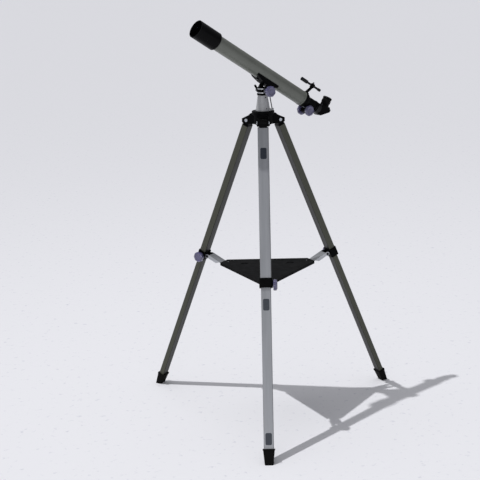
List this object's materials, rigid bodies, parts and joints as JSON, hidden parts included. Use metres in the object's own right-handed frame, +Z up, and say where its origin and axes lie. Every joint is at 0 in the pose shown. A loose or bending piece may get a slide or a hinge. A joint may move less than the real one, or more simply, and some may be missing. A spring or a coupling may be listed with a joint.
{
  "type": "telescope on tripod",
  "caption": "Small refracting telescope with finder, star diagonal and rack focuser on an alt-azimuth head and a folding tripod with telescopic legs and a tray.",
  "frame": {"origin": "on the ground under the stand's vertical (azimuth) axis", "axes": "+Z up; leg 1 points along -Y"},
  "size_m": [1.0566, 0.9161, 1.6575],
  "materials": {
    "black_abs": "fine moulded black, satin",
    "knob_plastic": "blue-black moulded plastic",
    "black_gloss": "gloss black",
    "black_rubber": "matt moulded rubber",
    "dark_insert": "dark grey moulded",
    "grey_casting": "sand-cast, grey lacquer",
    "bare_aluminium": "satin sheet",
    "leg_aluminium": "grey anodised extrusion",
    "grey_paint": "grey-green metallic enamel",
    "zinc_steel": "bright zinc",
    "black_steel": "blackened",
    "coated_glass": "coated lens",
    "mirror": "first-surface mirror"
  },
  "bodies": {
    "root": {"hub": "black_abs", "leg_pivot_bolts": "zinc_steel", "azimuth_bolt": "zinc_steel", "top_fitting_1": "black_abs", "upper_leg_1": "leg_aluminium", "collar_1": "black_abs", "top_fitting_2": "black_abs", "upper_leg_2": "leg_aluminium", "collar_2": "black_abs", "top_fitting_3": "black_abs", "upper_leg_3": "leg_aluminium", "collar_3": "black_abs"},
    "head": {"post": "grey_casting", "post_screws": "black_steel", "friction_block": "black_abs", "clamp_plates": "bare_aluminium"},
    "azimuth_lever": {"azimuth_lever": "zinc_steel"},
    "tube_assembly": {"saddle": "black_abs", "saddle_screws": "black_steel", "altitude_washers": "zinc_steel", "tube": "grey_paint", "tube_end_ring": "grey_paint", "dew_shield": "black_gloss", "lens_cell": "black_abs", "objective_lens": "coated_glass", "focuser_body": "black_abs", "finder_bracket": "black_abs", "finder_screws": "black_steel"},
    "altitude_clamp": {"altitude_bolt": "zinc_steel", "altitude_knob": "knob_plastic"},
    "altitude_lever": {"altitude_lever": "black_abs"},
    "drawtube": {"drawtube": "black_gloss", "rack": "zinc_steel"},
    "focus_pinion": {"pinion_shaft": "zinc_steel", "focus_knobs": "knob_plastic"},
    "drawtube_screw": {"drawtube_screw": "black_steel"},
    "diagonal": {"diagonal_body": "black_abs", "diagonal_mirror": "mirror"},
    "diagonal_screw": {"diagonal_screw": "black_steel"},
    "eyepiece": {"eyepiece": "black_gloss", "eyepiece_lens": "coated_glass"},
    "finder": {"finder_tube": "black_gloss", "finder_lenses": "coated_glass"},
    "lower_leg_1": {"lower_leg_1": "leg_aluminium", "leg_inserts_1": "dark_insert", "foot_1": "black_rubber"},
    "lock_knob_1": {"lock_knob_1": "knob_plastic"},
    "brace_1": {"brace_1": "bare_aluminium", "tray": "black_abs", "tray_nut": "zinc_steel"},
    "lower_leg_2": {"lower_leg_2": "leg_aluminium", "leg_inserts_2": "dark_insert", "foot_2": "black_rubber"},
    "lock_knob_2": {"lock_knob_2": "knob_plastic"},
    "brace_2": {"brace_2": "bare_aluminium"},
    "lower_leg_3": {"lower_leg_3": "leg_aluminium", "leg_inserts_3": "dark_insert", "foot_3": "black_rubber"},
    "lock_knob_3": {"lock_knob_3": "knob_plastic"},
    "brace_3": {"brace_3": "bare_aluminium"}
  },
  "joints": [
    {"name": "azimuth", "type": "hinge", "parent": "root", "child": "head", "pos_m": [0, 0, 1.28], "axis": [0, 0, 1], "continuous": true},
    {"name": "azimuth_lever_hinge", "type": "hinge", "parent": "head", "child": "azimuth_lever", "pos_m": [0.03759, -0.01368, 1.287], "axis": [0.342, 0.9397, 0], "range_deg": [0, 60]},
    {"name": "altitude", "type": "hinge", "parent": "head", "child": "tube_assembly", "pos_m": [0, 0, 1.3615], "axis": [-0.5835, 0.8121, 0], "range_deg": [-52.2, 27.8]},
    {"name": "altitude_knob_turn", "type": "hinge", "parent": "head", "child": "altitude_clamp", "pos_m": [0, 0, 1.3615], "axis": [0.5835, -0.8121, 0], "continuous": true},
    {"name": "altitude_lever_turn", "type": "hinge", "parent": "head", "child": "altitude_lever", "pos_m": [0, 0, 1.3615], "axis": [-0.5835, 0.8121, 0], "range_deg": [-60, 90]},
    {"name": "focus_slide", "type": "slide", "parent": "tube_assembly", "child": "drawtube", "axis": [0.6872, 0.4938, -0.5329], "range_m": [-0.004, 0.07]},
    {"name": "focus_knob_turn", "type": "hinge", "parent": "tube_assembly", "child": "focus_pinion", "pos_m": [0.17451, 0.1254, 1.25986], "axis": [-0.5835, 0.8121, 0], "range_deg": [-35.4, 617.2]},
    {"name": "drawtube_screw_turn", "type": "hinge", "parent": "drawtube", "child": "drawtube_screw", "pos_m": [0.2213, 0.15902, 1.26316], "axis": [0.7186, -0.3544, 0.5983], "continuous": true},
    {"name": "diagonal_turn", "type": "hinge", "parent": "drawtube", "child": "diagonal", "pos_m": [0.22817, 0.16396, 1.25783], "axis": [-0.6872, -0.4938, 0.5329], "continuous": true},
    {"name": "diagonal_screw_turn", "type": "hinge", "parent": "diagonal", "child": "diagonal_screw", "pos_m": [0.27237, 0.19572, 1.25606], "axis": [0.6872, 0.4938, -0.5329], "continuous": true},
    {"name": "eyepiece_slide", "type": "slide", "parent": "diagonal", "child": "eyepiece", "axis": [0.4327, 0.311, 0.8462], "range_m": [0, 0.025]},
    {"name": "finder_tilt", "type": "hinge", "parent": "tube_assembly", "child": "finder", "pos_m": [0.20555, 0.1477, 1.3581], "axis": [-0.5835, 0.8121, 0], "range_deg": [-1.5, 1.5]},
    {"name": "leg_1_extend", "type": "slide", "parent": "root", "child": "lower_leg_1", "axis": [0, 0.3874, 0.9219], "range_m": [0, 0.36]},
    {"name": "lock_1_turn", "type": "hinge", "parent": "root", "child": "lock_knob_1", "pos_m": [0.029, -0.32072, 0.63614], "axis": [1, 0, 0], "continuous": true},
    {"name": "brace_1_fold", "type": "hinge", "parent": "root", "child": "brace_1", "pos_m": [0, -0.28725, 0.63835], "axis": [1, 0, 0], "range_deg": [0, 45]},
    {"name": "leg_2_extend", "type": "slide", "parent": "root", "child": "lower_leg_2", "axis": [-0.3355, -0.1937, 0.9219], "range_m": [0, 0.36]},
    {"name": "lock_2_turn", "type": "hinge", "parent": "root", "child": "lock_knob_2", "pos_m": [0.26325, 0.18548, 0.63614], "axis": [-0.5, 0.866, 0], "continuous": true},
    {"name": "brace_2_fold", "type": "hinge", "parent": "root", "child": "brace_2", "pos_m": [0.24877, 0.14363, 0.63835], "axis": [-0.5, 0.866, 0], "range_deg": [-79, 0]},
    {"name": "leg_3_extend", "type": "slide", "parent": "root", "child": "lower_leg_3", "axis": [0.3355, -0.1937, 0.9219], "range_m": [0, 0.36]},
    {"name": "lock_3_turn", "type": "hinge", "parent": "root", "child": "lock_knob_3", "pos_m": [-0.29225, 0.13525, 0.63614], "axis": [-0.5, -0.866, 0], "continuous": true},
    {"name": "brace_3_fold", "type": "hinge", "parent": "root", "child": "brace_3", "pos_m": [-0.24877, 0.14363, 0.63835], "axis": [-0.5, -0.866, 0], "range_deg": [-79, 0]}
  ],
  "couplings": [
    {"joint": "focus_knob_turn", "follows": "focus_slide", "rad_per_m": 153.85}
  ]
}
